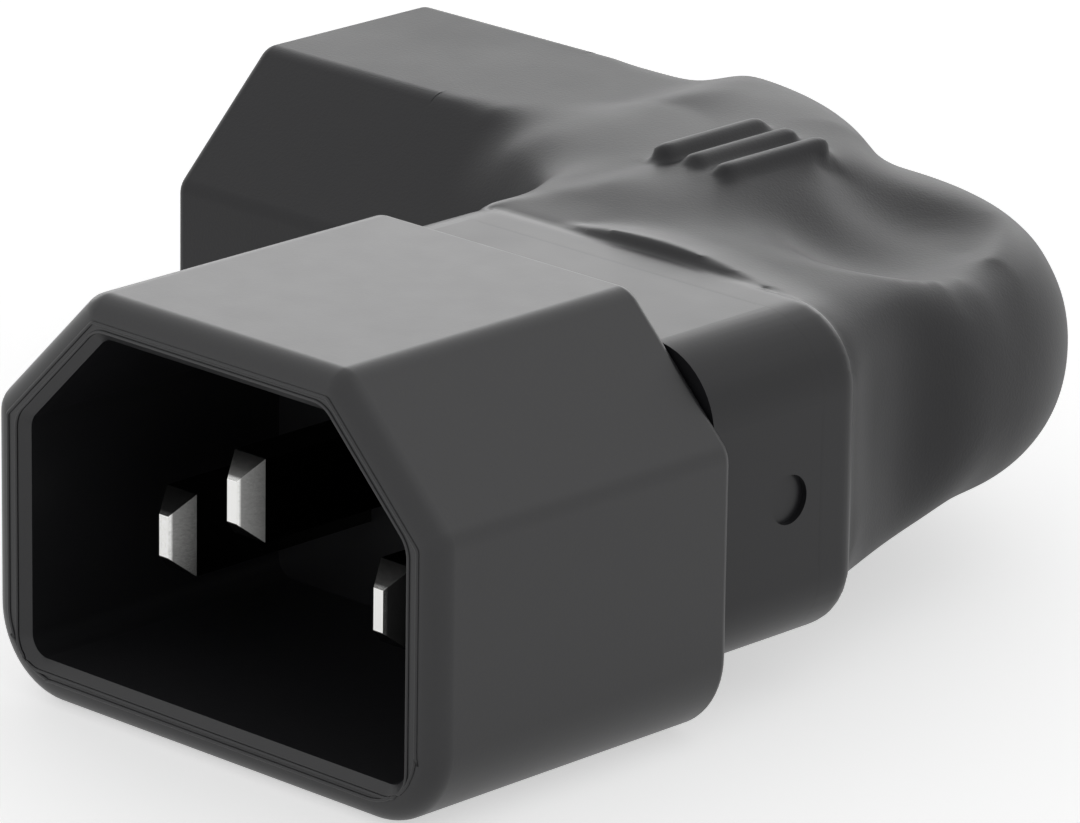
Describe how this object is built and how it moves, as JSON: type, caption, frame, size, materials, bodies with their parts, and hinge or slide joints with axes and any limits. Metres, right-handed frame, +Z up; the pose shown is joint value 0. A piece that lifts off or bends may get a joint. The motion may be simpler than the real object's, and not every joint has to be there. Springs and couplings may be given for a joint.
{
  "type": "right-angle mains power adapter",
  "caption": "Right-angle mains power adapter: a hard shroud with flat blades, joined by a soft moulded elbow with grip ribs and thumb hollows to a female outlet.",
  "frame": {"origin": "centre of the plan outline's box, on the surface that the adapter lies on", "axes": "+Z up, from the surface that it lies on to the grip ribs; -Y out of the male inlet's mouth; -X out of the female outlet's mouth"},
  "size_m": [0.053, 0.0584, 0.0205],
  "materials": {
    "soft_pvc": "fine matt mould texture, slightly soft",
    "hard_nylon": "semi-gloss",
    "carrier_plastic": "satin",
    "nickel_plate": "bright nickel plate on brass",
    "spring_bronze": "bare rolled sheet",
    "copper": "bare stranded copper",
    "brown_insulation": "smooth extruded",
    "blue_insulation": "smooth extruded",
    "green_yellow_insulation": "smooth extruded, green with a yellow stripe"
  },
  "bodies": {
    "root": {"soft_moulding": "soft_pvc", "inlet_shroud": "hard_nylon", "outlet_carrier": "carrier_plastic", "outlet_cover": "carrier_plastic", "line_pin": "nickel_plate", "line_contact": "spring_bronze", "line_copper": "copper", "line_insulation": "brown_insulation", "neutral_pin": "nickel_plate", "neutral_contact": "spring_bronze", "neutral_copper": "copper", "neutral_insulation": "blue_insulation", "earth_pin": "nickel_plate", "earth_contact": "spring_bronze", "earth_copper": "copper", "earth_insulation": "green_yellow_insulation"}
  },
  "joints": []
}
